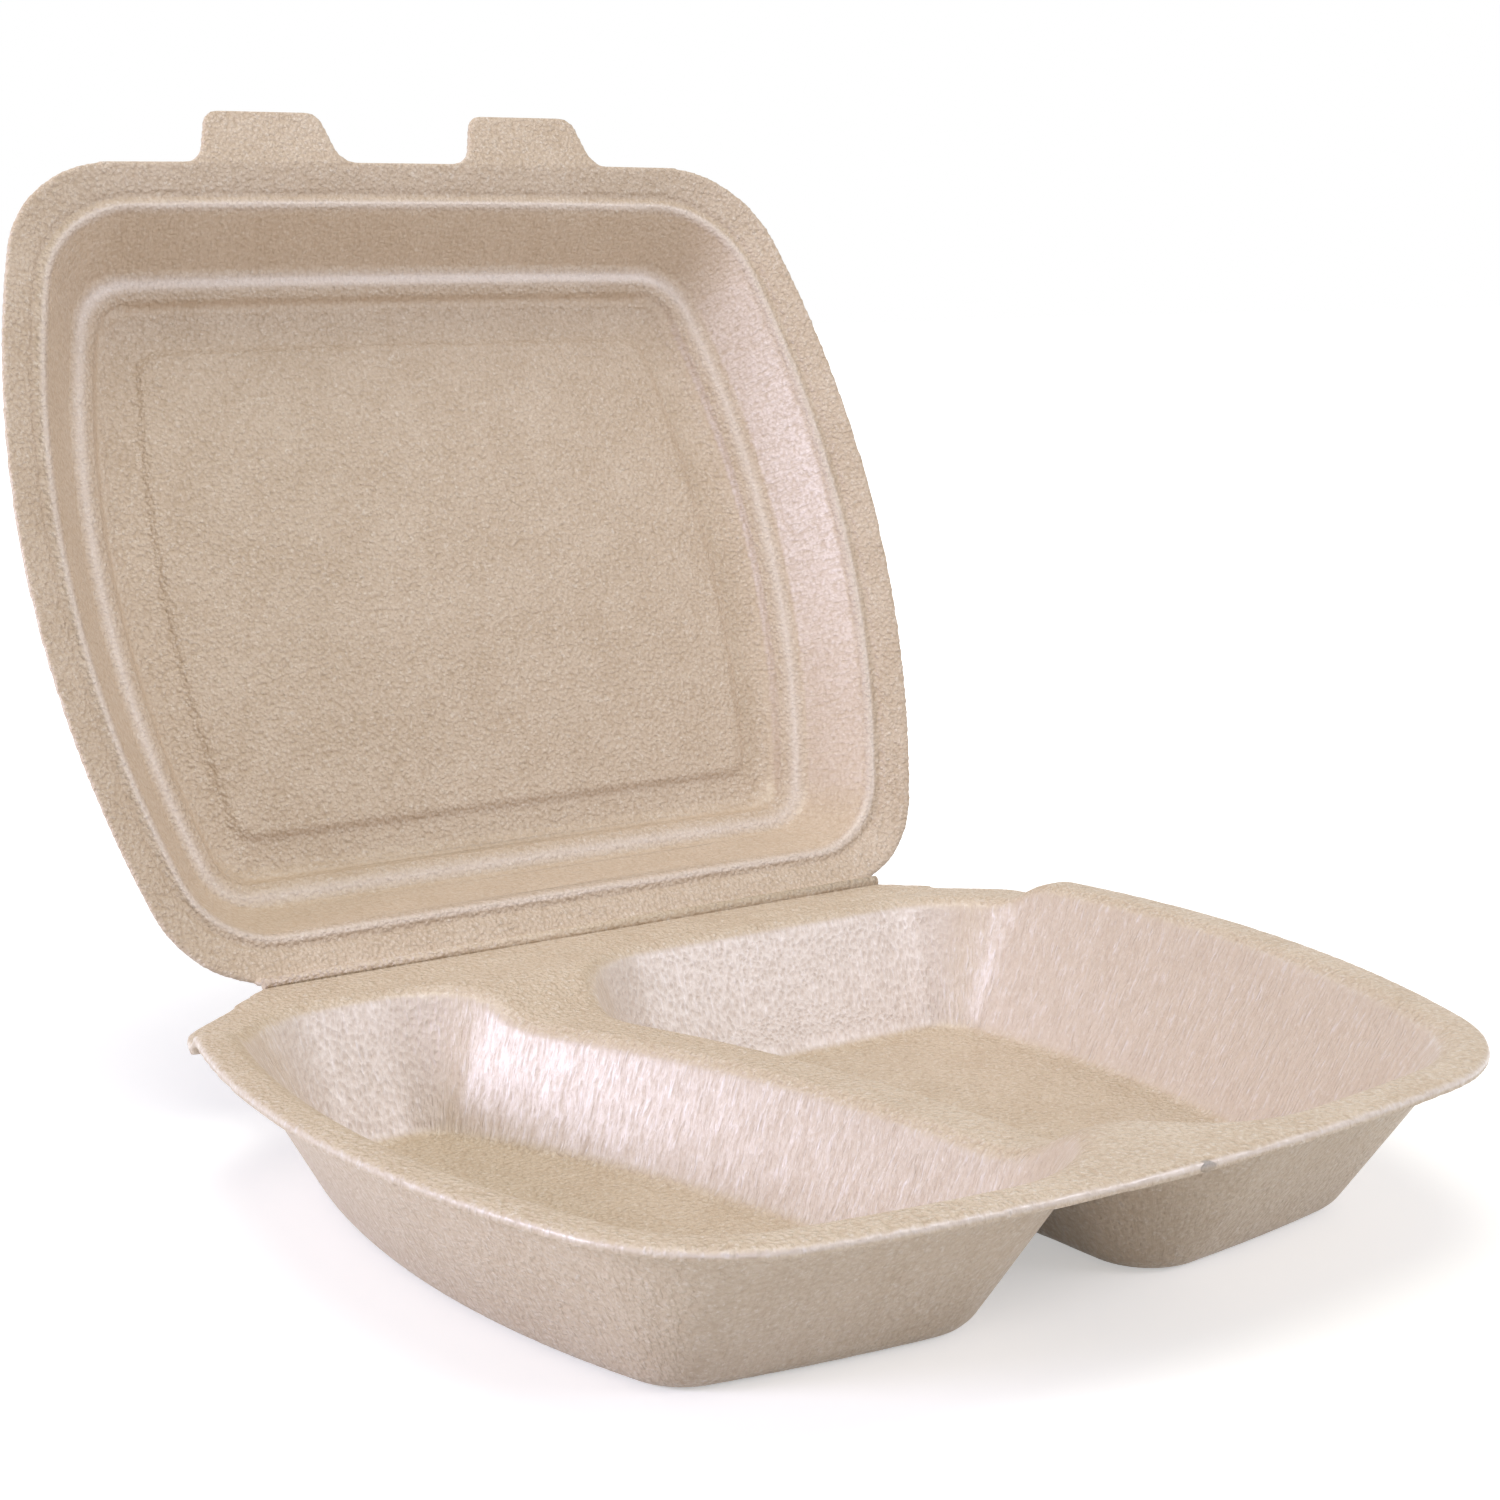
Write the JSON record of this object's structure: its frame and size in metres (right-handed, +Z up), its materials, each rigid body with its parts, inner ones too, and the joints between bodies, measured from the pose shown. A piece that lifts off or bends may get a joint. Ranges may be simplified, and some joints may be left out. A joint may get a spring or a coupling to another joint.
{
  "type": "foam clamshell container",
  "caption": "Hinged foam food container: a tray with two compartments under a stepped lid that closes with front tabs.",
  "frame": {"origin": "bottom centre of the whole container as it stands open", "axes": "+X along the hinge to the right as seen from the front, +Y from the tray's front edge towards the open lid, +Z up"},
  "size_m": [0.2426, 0.3093, 0.2359],
  "materials": {
    "tray_foam": "mottled beige foam with a faint pearl sheen",
    "lid_foam": "mottled beige foam with a faint pearl sheen"
  },
  "bodies": {
    "tray_body": {"base_tray": "tray_foam"},
    "lid_body": {"lid": "lid_foam"}
  },
  "joints": [
    {"name": "lid_hinge", "type": "hinge", "parent": "tray_body", "child": "lid_body", "pos_m": [0, 0.05185, 0.0344], "axis": [1, 0, 0], "range_deg": [-65.8, 114.2]}
  ]
}
